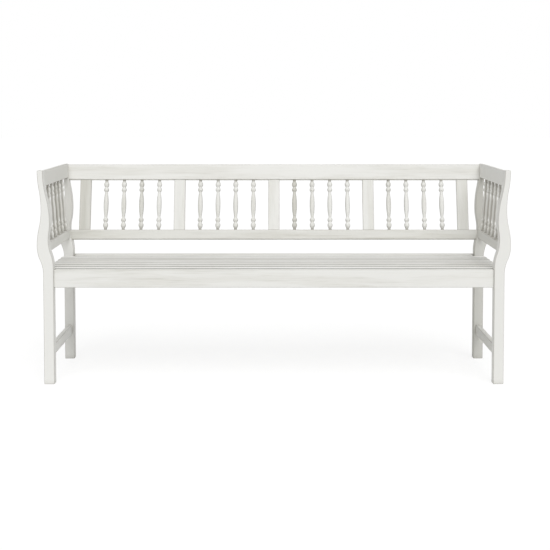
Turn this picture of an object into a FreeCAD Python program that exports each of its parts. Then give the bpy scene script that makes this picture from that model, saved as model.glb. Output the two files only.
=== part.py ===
import FreeCAD, Part
import math
import os
import re
import Sketcher

# Outdoor bench for three: four bandsawn posts, a slatted seat, and a back and two
# arms filled with turned spindles. The long front looks towards -Y and the right
# end is at +X. Lengths are in millimetres and angles in degrees.

# Counts of what repeats.
SLATS = 7
BEARERS = 4
STILES = 5
PANEL_SPINDLES = 4
ARM_SPINDLES = 5

# Driving dimensions, one sheet cell each.
SIZES = {
    # The whole bench
    "bench_width": 1830,          # across the bellies of the posts
    "seat_height": 447,           # floor to the top of the slats
    # Posts: a square leg that turns into an S-curved arm post above the seat
    "leg_width": 40,
    "leg_depth": 40,
    "leg_inset": 23.5,            # leg's outer face, inside the belly
    "swell_drop": 17,             # outer face starts to swell, below the seat
    "belly_rise": 90,             # widest point, above the seat
    "waist_rise": 233,
    "waist_inset": 16.7,
    "top_inset": 3,
    "post_top_width": 22.5,
    "scoop_rise": 8,              # inner face starts to scoop out, above the seat
    "hollow_rise": 113,           # deepest point of the scoop
    "hollow_depth": 18.5,
    "bulge_rise": 181,            # inner face comes back in here
    "bulge_depth": 12.8,
    "post_proud": 2,              # post top above the higher of the rails it carries
    "rake_angle": 15,             # lean of the rear posts and the back
    "rake_rise": 3,               # the lean starts here, above the seat
    "rake_bend": 200,             # radius of the bend into the lean
    # Seat
    "apron_height": 71,
    "apron_thickness": 26,
    "apron_recess": 10,           # front rail behind the leg's front face
    "rear_rail_height": 60,
    "rear_rail_thickness": 22,
    "rear_rail_recess": 3,
    "side_rail_thickness": 22,
    "slat_width": 54,
    "slat_thickness": 18,
    "slat_gap": 8,
    "slat_overhang": 4.5,         # slat end past the side rail
    "slat_post_gap": 1,           # first slat behind the front posts
    "short_slat_gap": 12,         # last slat's end to the rear post
    "bearer_width": 30,
    "bearer_height": 40,
    "bearer_pitch": 420,
    # Stretchers low between the front and rear legs
    "stretcher_rise": 103,
    "stretcher_height": 41,
    "stretcher_thickness": 20,
    # Back, measured along its lean
    "back_rail_thickness": 22,
    "back_lower_rise": 64,        # from the start of the lean
    "back_lower_height": 41.5,
    "back_top_height": 67,
    "stile_width": 48,
    "stile_thickness": 15,
    "end_gap": 36.5,              # end stile to the lower rail's shoulder
    # Arms
    "arm_inset": 37,              # foot of the arm, inside the belly
    "arm_lean": 3.8,              # outward lean of the arm
    "arm_lower_rise": 67,
    "arm_lower_height": 37,
    "arm_lower_thickness": 18,
    "arm_top_height": 60,
    "arm_top_thickness": 18,
    # Turned spindles, the same in the back and the arms
    "spindle_length": 218,        # clear length between the rails
    "spindle_pitch": 76,
    "neck_diameter": 12,
    "bead_diameter": 21,
    "cove_diameter": 13,
    "throat_diameter": 12,
    "vase_diameter": 20,
    "bead_start": 9,              # these five are measured from the rail
    "first_bead": 21,
    "cove_middle": 33,
    "second_bead": 43.5,
    "throat_middle": 54.5,
    # Mortise-and-tenon joints
    "joint_clearance": 0.2,       # around a tenon
    "end_clearance": 0.5,         # past the end of a tenon
    "shoulder_margin": 0.5,       # housed shoulder past the curve of the post
    "seat_tenon": 22,
    "side_tenon": 12,
    "bearer_tenon": 8,
    "back_lower_tenon": 12,
    "back_top_tenon": 8,
    "stile_tenon": 12,
    "arm_tenon": 6,
    "spindle_tenon": 12,
    "thick_tenon": 10,            # thickness in the long rails
    "thin_tenon": 8,              # thickness in arms, stretchers and stiles
    "seat_tenon_drop": 10,        # below the rail's top edge
    "seat_tenon_height": 30,
    "side_tenon_lift": 4,         # above the side rail's lower edge
    "side_tenon_height": 20,
    "back_tenon_lift": 6,         # above a back rail's lower edge
    "back_tenon_height": 26,
    "arm_tenon_drop": 8,          # below an arm rail's top edge
    "arm_tenon_height": 20,
    "edge_shoulder": 8,           # tenon set in from the edges of a narrow piece
    # Finish of the edges
    "edge_ease": 2,
}

# Sizes that follow from the driving ones.
DERIVED = {
    "half_width": "bench_width / 2",
    "leg_in": "half_width - leg_inset - leg_width",
    "leg_middle": "leg_in + leg_width / 2",
    "belly_across": "leg_width + leg_inset",
    "waist_across": "belly_across - waist_inset",
    "top_out_across": "belly_across - top_inset",
    "top_in_across": "top_out_across - post_top_width",
    "first_slat": "max(leg_depth + slat_post_gap; apron_recess + apron_thickness + slat_gap)",
    "slat_pitch": "slat_width + slat_gap",
    "rear_rail_front": f"first_slat + {SLATS} * slat_pitch",
    "foot_depth": "rear_rail_front + rear_rail_thickness + rear_rail_recess",
    "rear_leg": "foot_depth - leg_depth",
    "slat_base": "seat_height - slat_thickness",
    "apron_base": "seat_height - apron_height",
    "side_rail_height": "apron_height - slat_thickness",
    "seat_tenon_base": "seat_height - seat_tenon_drop - seat_tenon_height",
    "side_tenon_base": "apron_base + side_tenon_lift",
    "stretcher_tenon_height": "stretcher_height - 2 * edge_shoulder",
    "stretcher_tenon_base": "stretcher_rise + edge_shoulder",
    "arm_foot": "half_width - arm_inset",
    "arm_base": "seat_height + arm_lower_rise",
    "arm_top_base": "arm_lower_height + spindle_length",
    "arm_top": "arm_base + arm_top_base + arm_top_height",
    "rake_base": "seat_height + rake_rise",
    "back_setback": "(leg_depth * cos(rake_angle) - back_rail_thickness) / 2",
    "back_middle": "leg_depth * cos(rake_angle) / 2",
    "back_gap_base": "back_lower_rise + back_lower_height",
    "back_top_rise": "back_gap_base + spindle_length",
    "back_reach": "(back_top_rise + back_top_height) * cos(rake_angle)",
    "back_top": "rake_base + back_reach - back_setback * sin(rake_angle)",
    "post_top": "max(arm_top; back_top) + post_proud",
    "rear_lean": "(post_top - rake_base) * tan(rake_angle)",
    "front": "-(foot_depth + rear_lean) / 2",
    "lower_shoulder": "leg_in + hollow_depth + shoulder_margin",
    "top_shoulder": "leg_in + top_in_across + shoulder_margin",
    "end_stile": "lower_shoulder - end_gap - stile_width / 2",
    "stile_pitch": f"2 * end_stile / {STILES - 1}",
    "arm_lower_tenon_base": "arm_lower_height - arm_tenon_drop - arm_tenon_height",
    "arm_top_tenon_base": "arm_top_base + arm_top_height - arm_tenon_drop - arm_tenon_height",
    "arm_middle": "arm_base + arm_lower_height + spindle_length / 2",
    "arm_spindle_middle": "(leg_depth + rear_leg + (arm_middle - rake_base) * tan(rake_angle)) / 2",
    "spindle_total": "spindle_length + 2 * spindle_tenon",
    "vase_half": "spindle_length / 2 - throat_middle",
    "vase_swell": "(vase_diameter - throat_diameter) / 2",
    "vase_radius": "(vase_half^2 + vase_swell^2) / (2 * vase_swell)",
}


doc = FreeCAD.newDocument("outdoor_bench")
sheet = doc.addObject("Spreadsheet::Sheet", "Sizes")
for row, (alias, size) in enumerate(SIZES.items(), start=1):
    sheet.set(f"A{row}", str(size))
    sheet.setAlias(f"A{row}", alias)
doc.recompute()

NODES = {}


def formula(text):
    """Spell a size formula out in sheet cells."""
    def spell(match):
        word = match.group(0)
        if word in DERIVED:
            return f"({formula(DERIVED[word])})"
        return f"Sizes.{word}" if word in SIZES else word
    return re.sub(r"[a-z_]+", spell, text)


def value(text):
    """Work a size formula out as a number."""
    return float(sheet.evalExpression(formula(text)))


def bind(thing, path, text):
    """Tie one property of a document object to a size formula."""
    thing.setExpression(path, formula(text))


# Bodies and where they stand

def new_body(label):
    body = doc.addObject("PartDesign::Body", label)
    body.Label = label
    return body


def keep(label, piece):
    """Hand a finished piece in under its own name."""
    piece.Label = label
    NODES[label] = piece


def stand(piece, across, depth, height):
    """Place an upright piece: depth is counted from the front legs' front face."""
    bind(piece, "Placement.Base.x", across)
    bind(piece, "Placement.Base.y", f"front + {depth}")
    bind(piece, "Placement.Base.z", height)


def turn(piece, axis, angle):
    piece.Placement = FreeCAD.Placement(FreeCAD.Vector(), FreeCAD.Rotation(axis, 1))
    bind(piece, "Placement.Rotation.Angle", angle)


def stand_on_back(piece, across, depth, rise):
    """Place a piece of the leaning back: depth and rise are square to and along the lean."""
    turn(piece, FreeCAD.Vector(1, 0, 0), "-rake_angle")
    stand(
        piece, across,
        f"rear_leg + {depth} * cos(rake_angle) + ({rise}) * sin(rake_angle)",
        f"rake_base - {depth} * sin(rake_angle) + ({rise}) * cos(rake_angle)",
    )


def stand_on_arm(piece, depth, rise):
    """Place a piece of the right arm: rise is along the arm's outward lean."""
    turn(piece, FreeCAD.Vector(0, 1, 0), "arm_lean")
    stand(
        piece, f"arm_foot + ({rise}) * sin(arm_lean)", depth,
        f"arm_base + ({rise}) * cos(arm_lean)",
    )


def mirror_to_left(label):
    """The left end is the right end's mirror image."""
    twin = doc.addObject("Part::Mirroring", label.replace("right", "left"))
    twin.Source = NODES[label]
    twin.Normal = FreeCAD.Vector(1, 0, 0)
    keep(label.replace("right", "left"), twin)


# Sketches

def new_sketch(body, role, out="0", across="0", up="0", angle="0"):
    """A sketch on one of the body's own planes, shifted and turned by formulas."""
    plane = next(item for item in body.Origin.OriginFeatures if item.Role == role)
    sketch = body.newObject("Sketcher::SketchObject", f"{body.Name}_sketch")
    sketch.AttachmentSupport = [(plane, "")]
    sketch.MapMode = "FlatFace"
    for path, shift in (("x", across), ("y", up), ("z", out)):
        bind(sketch, f"AttachmentOffset.Base.{path}", shift)
    if angle != "0":
        bind(sketch, "AttachmentOffset.Rotation.Angle", angle)
    return sketch


def hold(sketch, point, direction, text):
    """Fix one coordinate of a sketch point by a formula."""
    size = value(text)
    if abs(size) < 1e-9:
        axis = -2 if direction == "X" else -1
        sketch.addConstraint(Sketcher.Constraint("PointOnObject", *point, axis))
        return
    index = sketch.addConstraint(Sketcher.Constraint(f"Distance{direction}", -1, 1, *point, size))
    bind(sketch, f"Constraints[{index}]", text)


def draw_line(sketch, start, end):
    line = sketch.addGeometry(Part.LineSegment(start, end), False)
    return (line, 1), (line, 2)


def draw_arc(sketch, centre, start, end):
    """Arc between two points, returned as its start and end in drawing order."""
    forward = (start - centre).cross(end - centre).z > 0
    first, last = (start, end) if forward else (end, start)
    begin = math.atan2(first.y - centre.y, first.x - centre.x)
    finish = math.atan2(last.y - centre.y, last.x - centre.x)
    finish += 2 * math.pi if finish < begin else 0
    circle = Part.Circle(centre, FreeCAD.Vector(0, 0, 1), (start - centre).Length)
    arc = sketch.addGeometry(Part.ArcOfCircle(circle, begin, finish), False)
    return ((arc, 1), (arc, 2)) if forward else ((arc, 2), (arc, 1))


def draw_ogee(sketch, start, end):
    """S-curve, upright at both ends: two equal arcs that meet half way."""
    middle = (start + end) / 2
    run = end - start
    radius = run.Length ** 2 / (4 * run.x)
    toe, waist_below = draw_arc(sketch, start + FreeCAD.Vector(radius, 0, 0), start, middle)
    waist_above, tip = draw_arc(sketch, end - FreeCAD.Vector(radius, 0, 0), middle, end)
    sketch.addConstraint([
        Sketcher.Constraint("Tangent", *waist_below, *waist_above),
        Sketcher.Constraint("Horizontal", toe[0], 3, *toe),
        Sketcher.Constraint("Horizontal", tip[0], 3, *tip),
        Sketcher.Constraint("Equal", toe[0], tip[0]),
    ])
    return toe, tip


def draw_vase(sketch, start, end):
    """Shallow arc that swells from the throats of a spindle to its widest."""
    radius = value("vase_radius")
    centre = (start + end) / 2 - FreeCAD.Vector(radius - value("vase_swell"), 0, 0)
    below, above = draw_arc(sketch, centre, start, end)
    index = sketch.addConstraint(Sketcher.Constraint("Radius", below[0], radius))
    bind(sketch, f"Constraints[{index}]", "vase_radius")
    return below, above


def draw_loop(sketch, corners, curves=None):
    """Closed outline through corners given as formulas.

    Runs are straight, apart from those for which curves, by their place in the loop,
    gives another drawing function.
    """
    points = [FreeCAD.Vector(value(across), value(up), 0) for across, up in corners]
    runs = []
    for index, start in enumerate(points):
        draw = (curves or {}).get(index, draw_line)
        runs.append(draw(sketch, start, points[(index + 1) % len(points)]))
    for index, (across, up) in enumerate(corners):
        tail, head = runs[index - 1][1], runs[index][0]
        sketch.addConstraint(Sketcher.Constraint("Coincident", *tail, *head))
        hold(sketch, head, "X", across)
        hold(sketch, head, "Y", up)


def draw_block(sketch, left, base, width, height):
    """Rectangle from its lower left corner, width and height."""
    right, top = f"{left} + {width}", f"{base} + {height}"
    draw_loop(sketch, [(left, base), (right, base), (right, top), (left, top)])


def draw_slot(sketch, left, base, width, height):
    """Rectangle that leaves the joint clearance all round a tenon."""
    draw_block(
        sketch, f"{left} - joint_clearance", f"{base} - joint_clearance",
        f"{width} + 2 * joint_clearance", f"{height} + 2 * joint_clearance",
    )


def draw_bore(sketch, across, up):
    """Circle of a spindle's hole."""
    centre = FreeCAD.Vector(value(across), value(up), 0)
    circle = Part.Circle(centre, FreeCAD.Vector(0, 0, 1), value("neck_diameter / 2 + joint_clearance"))
    index = sketch.addGeometry(circle, False)
    hold(sketch, (index, 3), "X", across)
    hold(sketch, (index, 3), "Y", up)
    size = sketch.addConstraint(Sketcher.Constraint("Diameter", index, 2 * circle.Radius))
    bind(sketch, f"Constraints[{size}]", "neck_diameter + 2 * joint_clearance")


# Features

def add_pad(body, sketch, thickness):
    """Pad to both sides of the sketch."""
    pad = body.newObject("PartDesign::Pad", f"{body.Name}_pad")
    pad.Profile = sketch
    pad.SideType = "Symmetric"
    bind(pad, "Length", thickness)
    body.Tip = pad
    return pad


def add_pocket(body, sketch, depth):
    """Cut to the given depth on both sides of the sketch, of which one is already air."""
    cut = body.newObject("PartDesign::Pocket", f"{body.Name}_pocket")
    cut.Profile = sketch
    cut.SideType = "Symmetric"
    bind(cut, "Length", f"2 * ({depth})")
    body.Tip = cut
    return cut


def edges_where(shape, wanted):
    return [f"Edge{index}" for index, edge in enumerate(shape.Edges, start=1) if wanted(edge)]


def runs_along(edge, axis):
    start, end = edge.Vertexes[0].Point, edge.Vertexes[-1].Point
    return edge.Curve.TypeId == "Part::GeomLine" and (end - start).cross(axis).Length < 1e-6


def ease_long_edges(body, axis):
    """Break the edges of a piece that run along an axis."""
    doc.recompute()
    base = body.Tip
    chamfer = body.newObject("PartDesign::Chamfer", f"{body.Name}_ease")
    chamfer.Base = (base, edges_where(base.Shape, lambda edge: runs_along(edge, axis)))
    bind(chamfer, "Size", "edge_ease")
    body.Tip = chamfer


ALONG = FreeCAD.Vector(1, 0, 0)
INWARD = FreeCAD.Vector(0, 1, 0)
UPWARD = FreeCAD.Vector(0, 0, 1)


# Posts

def draw_post_face(sketch):
    """Front view of a right-hand post, from the inner corner of its foot."""
    draw_loop(sketch, [
        ("0", "0"),
        ("leg_width", "0"),
        ("leg_width", "seat_height - swell_drop"),
        ("belly_across", "seat_height + belly_rise"),
        ("waist_across", "seat_height + waist_rise"),
        ("top_out_across", "post_top"),
        ("top_in_across", "post_top"),
        ("bulge_depth", "seat_height + bulge_rise"),
        ("hollow_depth", "seat_height + hollow_rise"),
        ("0", "seat_height + scoop_rise"),
    ], curves=dict.fromkeys((2, 3, 4, 6, 7, 8), draw_ogee))


def mortise_for_side_rails(body, face, depth):
    """Mortises of the seat's side rail and the stretcher, in the leg's cross face."""
    sketch = new_sketch(body, "XZ_Plane", out=f"-({face})")
    left = "(leg_width - thin_tenon) / 2"
    draw_slot(sketch, left, "side_tenon_base", "thin_tenon", "side_tenon_height")
    draw_slot(sketch, left, "stretcher_tenon_base", "thin_tenon", "stretcher_tenon_height")
    add_pocket(body, sketch, depth)


def mortise_for_arm_rail(body, face, base, depth):
    """Mortise of one arm rail, leaning out with the arm."""
    sketch = new_sketch(
        body, "XZ_Plane", out=f"-({face})", across="arm_foot - leg_in", up="arm_base",
        angle="-arm_lean",
    )
    draw_slot(sketch, "-thin_tenon / 2", base, "thin_tenon", "arm_tenon_height")
    add_pocket(body, sketch, depth)


def mortise_for_seat_rail(body, front_face, thickness):
    sketch = new_sketch(body, "YZ_Plane")
    draw_slot(
        sketch, f"{front_face} + ({thickness} - thick_tenon) / 2", "seat_tenon_base",
        "thick_tenon", "seat_tenon_height",
    )
    add_pocket(body, sketch, "seat_tenon + end_clearance")


def mortise_for_back_rail(body, rise, height, shoulder, tenon):
    """Housing for a back rail's end in the curved face, and a mortise in its floor."""
    lean = {"up": "rake_base", "angle": "-rake_angle"}
    housing = new_sketch(body, "YZ_Plane", **lean)
    draw_slot(housing, "back_setback", rise, "back_rail_thickness", height)
    add_pocket(body, housing, f"{shoulder} - leg_in")
    mortise = new_sketch(body, "YZ_Plane", **lean)
    draw_slot(
        mortise, "back_middle - thick_tenon / 2", f"{rise} + back_tenon_lift", "thick_tenon",
        "back_tenon_height",
    )
    add_pocket(body, mortise, f"{shoulder} - leg_in + {tenon} + end_clearance")


def make_front_post():
    body = new_body("front_right_post")
    face = new_sketch(body, "XZ_Plane", out="-leg_depth / 2")
    draw_post_face(face)
    add_pad(body, face, "leg_depth")
    mortise_for_seat_rail(body, "apron_recess", "apron_thickness")
    mortise_for_side_rails(body, "leg_depth", "side_tenon + end_clearance")
    for base in ("arm_lower_tenon_base", "arm_top_tenon_base"):
        mortise_for_arm_rail(body, "leg_depth", base, "arm_tenon + end_clearance")
    stand(body, "leg_in", "0", "0")
    keep("front_right_post", body)


def arm_tenon_reach(tenon_base):
    """How far behind the rear leg's face an arm rail's tenon ends in the leaning post."""
    return f"(arm_base + {tenon_base} + arm_tenon_height - rake_base) * tan(rake_angle) + arm_tenon"


def make_rear_post():
    """Sawn to the S-curve from the front and to the lean from the side."""
    face_sawn = new_body("rear_post_face_sawn")
    face = new_sketch(face_sawn, "XZ_Plane")
    draw_post_face(face)
    add_pad(face_sawn, face, "3 * (leg_depth + rear_lean)")
    mortise_for_seat_rail(face_sawn, "rear_rail_front - rear_leg", "rear_rail_thickness")
    mortise_for_side_rails(face_sawn, "0", "side_tenon + end_clearance")
    for base in ("arm_lower_tenon_base", "arm_top_tenon_base"):
        mortise_for_arm_rail(face_sawn, "0", base, f"{arm_tenon_reach(base)} + end_clearance")
    mortise_for_back_rail(
        face_sawn, "back_lower_rise", "back_lower_height", "lower_shoulder", "back_lower_tenon")
    mortise_for_back_rail(
        face_sawn, "back_top_rise", "back_top_height", "top_shoulder", "back_top_tenon")

    side_sawn = new_body("rear_post_side_sawn")
    side = new_sketch(side_sawn, "YZ_Plane")
    draw_loop(side, [
        ("0", "0"),
        ("leg_depth", "0"),
        ("leg_depth", "rake_base"),
        ("leg_depth + rear_lean", "post_top"),
        ("rear_lean", "post_top"),
        ("0", "rake_base"),
    ])
    blank = add_pad(side_sawn, side, "3 * belly_across")
    doc.recompute()
    bend_height = value("rake_base")
    bends = edges_where(
        blank.Shape,
        lambda edge: runs_along(edge, ALONG) and abs(edge.BoundBox.Center.z - bend_height) < 1e-6,
    )
    bend = side_sawn.newObject("PartDesign::Fillet", "rear_post_bend")
    bend.Base = (blank, bends)
    bind(bend, "Radius", "rake_bend")
    side_sawn.Tip = bend

    for sawn in (face_sawn, side_sawn):
        stand(sawn, "leg_in", "rear_leg", "0")
    post = doc.addObject("Part::Common", "rear_right_post")
    post.Base, post.Tool = face_sawn, side_sawn
    keep("rear_right_post", post)


# Seat frame and slats

def make_seat_rail(label, front_face, thickness, height):
    """Long rail between the legs, with a tenon at each end and mortises for the bearers."""
    body = new_body(label)
    section = new_sketch(body, "YZ_Plane")
    draw_block(section, "0", "0", thickness, height)
    add_pad(body, section, "2 * leg_in")
    ease_long_edges(body, ALONG)
    tenon = new_sketch(body, "YZ_Plane")
    draw_block(
        tenon, f"({thickness} - thick_tenon) / 2", f"seat_tenon_base - seat_height + {height}",
        "thick_tenon", "seat_tenon_height",
    )
    add_pad(body, tenon, "2 * (leg_in + seat_tenon)")
    inner_face = thickness if label == "front_seat_rail" else "0"
    mortises = new_sketch(body, "XZ_Plane", out=f"-({inner_face})")
    for index in range(BEARERS):
        draw_slot(
            mortises, f"{bearer_across(index)} - thick_tenon / 2",
            f"{height} - slat_thickness - bearer_height + edge_shoulder",
            "thick_tenon", "bearer_height - 2 * edge_shoulder",
        )
    add_pocket(body, mortises, "bearer_tenon + end_clearance")
    stand(body, "0", front_face, f"seat_height - {height}")
    keep(label, body)


def make_tenoned_bar(body, length, height, thickness, tenon, tenon_base, tenon_height, tenon_thickness):
    """Bar from front to back with a tenon at each end, starting at its front tenon's tip."""
    side = new_sketch(body, "YZ_Plane")
    draw_block(side, tenon, "0", length, height)
    add_pad(body, side, thickness)
    ease_long_edges(body, INWARD)
    tongue = new_sketch(body, "YZ_Plane")
    draw_block(tongue, "0", tenon_base, f"{length} + 2 * {tenon}", tenon_height)
    add_pad(body, tongue, tenon_thickness)


def make_side_rail():
    body = new_body("right_seat_rail")
    make_tenoned_bar(
        body, "rear_leg - leg_depth", "side_rail_height", "side_rail_thickness", "side_tenon",
        "side_tenon_lift", "side_tenon_height", "thin_tenon",
    )
    stand(body, "leg_middle", "leg_depth - side_tenon", "apron_base")
    keep("right_seat_rail", body)


def make_stretcher():
    body = new_body("right_stretcher")
    make_tenoned_bar(
        body, "rear_leg - leg_depth", "stretcher_height", "stretcher_thickness", "side_tenon",
        "edge_shoulder", "stretcher_tenon_height", "thin_tenon",
    )
    stand(body, "leg_middle", "leg_depth - side_tenon", "stretcher_rise")
    keep("right_stretcher", body)


def bearer_across(index):
    return f"{index - (BEARERS - 1) / 2} * bearer_pitch"


def make_bearer(index):
    label = f"seat_bearer_{index + 1}"
    body = new_body(label)
    make_tenoned_bar(
        body, "rear_rail_front - apron_recess - apron_thickness", "bearer_height", "bearer_width",
        "bearer_tenon", "edge_shoulder", "bearer_height - 2 * edge_shoulder", "thick_tenon",
    )
    stand(
        body, bearer_across(index), "apron_recess + apron_thickness - bearer_tenon",
        "slat_base - bearer_height",
    )
    keep(label, body)


def make_slat(index):
    """The last slat is shorter, to pass between the rear posts."""
    label = f"seat_slat_{index + 1}"
    body = new_body(label)
    section = new_sketch(body, "YZ_Plane")
    draw_block(section, "0", "0", "slat_width", "slat_thickness")
    reach = "leg_middle + side_rail_thickness / 2 + slat_overhang"
    if index == SLATS - 1:
        reach = "leg_in - short_slat_gap"
    add_pad(body, section, f"2 * ({reach})")
    ease_long_edges(body, ALONG)
    stand(body, "0", f"first_slat + {index} * slat_pitch", "slat_base")
    keep(label, body)


# Back

def stile_across(index):
    return f"{index - (STILES - 1) / 2} * stile_pitch"


def spindle_across(panel, index):
    middle = f"{panel - (STILES - 2) / 2} * stile_pitch"
    return f"{middle} + {index - (PANEL_SPINDLES - 1) / 2} * spindle_pitch"


def make_back_rail(label, rise, height, shoulder, tenon, joint_face):
    """Rail across the leaning back, drilled for the spindles and mortised for the stiles."""
    body = new_body(label)
    section = new_sketch(body, "YZ_Plane")
    draw_block(section, "0", "0", "back_rail_thickness", height)
    add_pad(body, section, f"2 * {shoulder}")
    ease_long_edges(body, ALONG)
    tongue = new_sketch(body, "YZ_Plane")
    draw_block(
        tongue, "(back_rail_thickness - thick_tenon) / 2", "back_tenon_lift", "thick_tenon",
        "back_tenon_height",
    )
    add_pad(body, tongue, f"2 * ({shoulder} + {tenon})")
    bores = new_sketch(body, "XY_Plane", out=joint_face)
    for panel in range(STILES - 1):
        for index in range(PANEL_SPINDLES):
            draw_bore(bores, spindle_across(panel, index), "back_rail_thickness / 2")
    add_pocket(body, bores, "spindle_tenon + end_clearance")
    mortises = new_sketch(body, "XY_Plane", out=joint_face)
    for index in range(STILES):
        draw_slot(
            mortises, f"{stile_across(index)} - stile_width / 2 + edge_shoulder",
            "(back_rail_thickness - thin_tenon) / 2", "stile_width - 2 * edge_shoulder", "thin_tenon",
        )
    add_pocket(body, mortises, "stile_tenon + end_clearance")
    stand_on_back(body, "0", "back_setback", rise)
    keep(label, body)


def make_stile(index):
    """Flat upright between the back rails."""
    label = f"back_stile_{index + 1}"
    body = new_body(label)
    side = new_sketch(body, "YZ_Plane")
    draw_block(side, "0", "stile_tenon", "stile_thickness", "spindle_length")
    add_pad(body, side, "stile_width")
    ease_long_edges(body, UPWARD)
    tongue = new_sketch(body, "YZ_Plane")
    draw_block(
        tongue, "(stile_thickness - thin_tenon) / 2", "0", "thin_tenon",
        "spindle_length + 2 * stile_tenon",
    )
    add_pad(body, tongue, "stile_width - 2 * edge_shoulder")
    stand_on_back(
        body, stile_across(index), "(back_middle - stile_thickness / 2)", "back_gap_base - stile_tenon")
    keep(label, body)


def make_spindle(label):
    """Turned between centres: two beads at each end and a long vase in the middle."""
    body = new_body(label)
    profile = new_sketch(body, "XZ_Plane")
    steps = [
        ("neck_diameter / 2", "bead_start"),
        ("bead_diameter / 2", "first_bead"),
        ("cove_diameter / 2", "cove_middle"),
        ("bead_diameter / 2", "second_bead"),
        ("throat_diameter / 2", "throat_middle"),
    ]
    lower = [(radius, f"spindle_tenon + {along}") for radius, along in steps]
    upper = [(radius, f"spindle_total - spindle_tenon - {along}") for radius, along in reversed(steps)]
    corners = [("0", "0"), ("neck_diameter / 2", "0"), *lower]
    corners += [*upper, ("neck_diameter / 2", "spindle_total"), ("0", "spindle_total")]
    draw_loop(profile, corners, curves={1 + len(lower): draw_vase})
    lathe = body.newObject("PartDesign::Revolution", f"{label}_turning")
    lathe.Profile = profile
    lathe.ReferenceAxis = (profile, ["V_Axis"])
    lathe.Angle = 360
    body.Tip = lathe
    keep(label, body)
    return body


# Arms

def arm_spindle_depth(index):
    return f"arm_spindle_middle + {index - (ARM_SPINDLES - 1) / 2} * spindle_pitch"


def make_arm_rail(label, base, height, thickness, tenon_base, joint_face):
    """Rail of the right arm; its rear shoulder follows the lean of the rear post."""
    body = new_body(label)
    side = new_sketch(body, "YZ_Plane")
    shoulder = "rear_leg + (arm_base + {0} - rake_base) * tan(rake_angle) - joint_clearance"
    top = f"({base} + {height})"
    draw_loop(side, [
        ("leg_depth", base),
        (shoulder.format(f"({base})"), base),
        (shoulder.format(top), top),
        ("leg_depth", top),
    ])
    add_pad(body, side, thickness)
    tongue = new_sketch(body, "YZ_Plane")
    draw_block(
        tongue, "leg_depth - arm_tenon", tenon_base,
        f"rear_leg + {arm_tenon_reach(tenon_base)} - leg_depth + arm_tenon", "arm_tenon_height",
    )
    add_pad(body, tongue, "thin_tenon")
    bores = new_sketch(body, "XY_Plane", out=joint_face)
    for index in range(ARM_SPINDLES):
        draw_bore(bores, "0", arm_spindle_depth(index))
    add_pocket(body, bores, "spindle_tenon + end_clearance")
    stand_on_arm(body, "0", "0")
    keep(label, body)


def make_bench():
    make_front_post()
    make_rear_post()
    make_seat_rail("front_seat_rail", "apron_recess", "apron_thickness", "apron_height")
    make_seat_rail("rear_seat_rail", "rear_rail_front", "rear_rail_thickness", "rear_rail_height")
    make_side_rail()
    make_stretcher()
    for index in range(BEARERS):
        make_bearer(index)
    for index in range(SLATS):
        make_slat(index)

    make_back_rail(
        "back_lower_rail", "back_lower_rise", "back_lower_height", "lower_shoulder",
        "back_lower_tenon", joint_face="back_lower_height")
    make_back_rail(
        "back_top_rail", "back_top_rise", "back_top_height", "top_shoulder", "back_top_tenon",
        joint_face="0")
    for index in range(STILES):
        make_stile(index)
    for panel in range(STILES - 1):
        for index in range(PANEL_SPINDLES):
            spindle = make_spindle(f"back_spindle_{panel * PANEL_SPINDLES + index + 1:02d}")
            stand_on_back(
                spindle, spindle_across(panel, index), "back_middle", "back_gap_base - spindle_tenon")

    make_arm_rail(
        "right_arm_lower_rail", "0", "arm_lower_height", "arm_lower_thickness",
        "arm_lower_tenon_base", joint_face="arm_lower_height")
    make_arm_rail(
        "right_arm_top_rail", "arm_top_base", "arm_top_height", "arm_top_thickness",
        "arm_top_tenon_base", joint_face="arm_top_base")
    for index in range(ARM_SPINDLES):
        spindle = make_spindle(f"right_arm_spindle_{index + 1}")
        stand_on_arm(spindle, arm_spindle_depth(index), "arm_lower_height - spindle_tenon")

    for label in [label for label in NODES if "right" in label]:
        mirror_to_left(label)


def check_bench():
    """Stop before anything is written if a feature failed or a piece isn't one sound solid."""
    doc.recompute()
    failed = [item.Name for item in doc.Objects if {"Invalid", "Error"} & set(item.State)]
    if failed:
        raise RuntimeError(f"features failed: {failed}")
    for label, piece in NODES.items():
        shape = piece.Shape
        if shape.isNull() or not shape.isValid() or len(shape.Solids) != 1:
            raise RuntimeError(f"{label} is not one sound solid")


make_bench()
check_bench()
os.makedirs("parts", exist_ok=True)
for label, piece in NODES.items():
    piece.Shape.exportStep(f"parts/{label}.step")
print(f"{len(NODES)} pieces written")
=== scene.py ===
"""Looks of a whitewashed outdoor bench with turned spindles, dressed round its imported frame."""

import logging
import math
from collections.abc import Callable, Iterable, Sequence
from dataclasses import dataclass, field
from enum import Enum

import bmesh
import bpy
from mathutils import Euler, Matrix, Vector


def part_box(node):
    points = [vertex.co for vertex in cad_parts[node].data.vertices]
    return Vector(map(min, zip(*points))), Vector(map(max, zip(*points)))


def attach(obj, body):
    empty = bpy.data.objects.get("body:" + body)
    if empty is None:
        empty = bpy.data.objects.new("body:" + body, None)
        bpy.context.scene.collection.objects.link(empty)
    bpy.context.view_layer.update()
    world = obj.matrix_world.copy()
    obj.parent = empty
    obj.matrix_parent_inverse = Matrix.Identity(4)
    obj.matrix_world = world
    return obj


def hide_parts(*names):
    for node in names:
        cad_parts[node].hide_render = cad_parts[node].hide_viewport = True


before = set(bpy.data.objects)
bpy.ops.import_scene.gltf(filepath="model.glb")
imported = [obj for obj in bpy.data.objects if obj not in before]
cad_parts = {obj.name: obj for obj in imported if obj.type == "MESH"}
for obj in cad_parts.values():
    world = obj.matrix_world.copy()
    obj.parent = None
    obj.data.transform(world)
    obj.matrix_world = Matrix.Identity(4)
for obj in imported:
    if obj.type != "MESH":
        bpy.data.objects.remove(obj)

log = logging.getLogger("bench")

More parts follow.
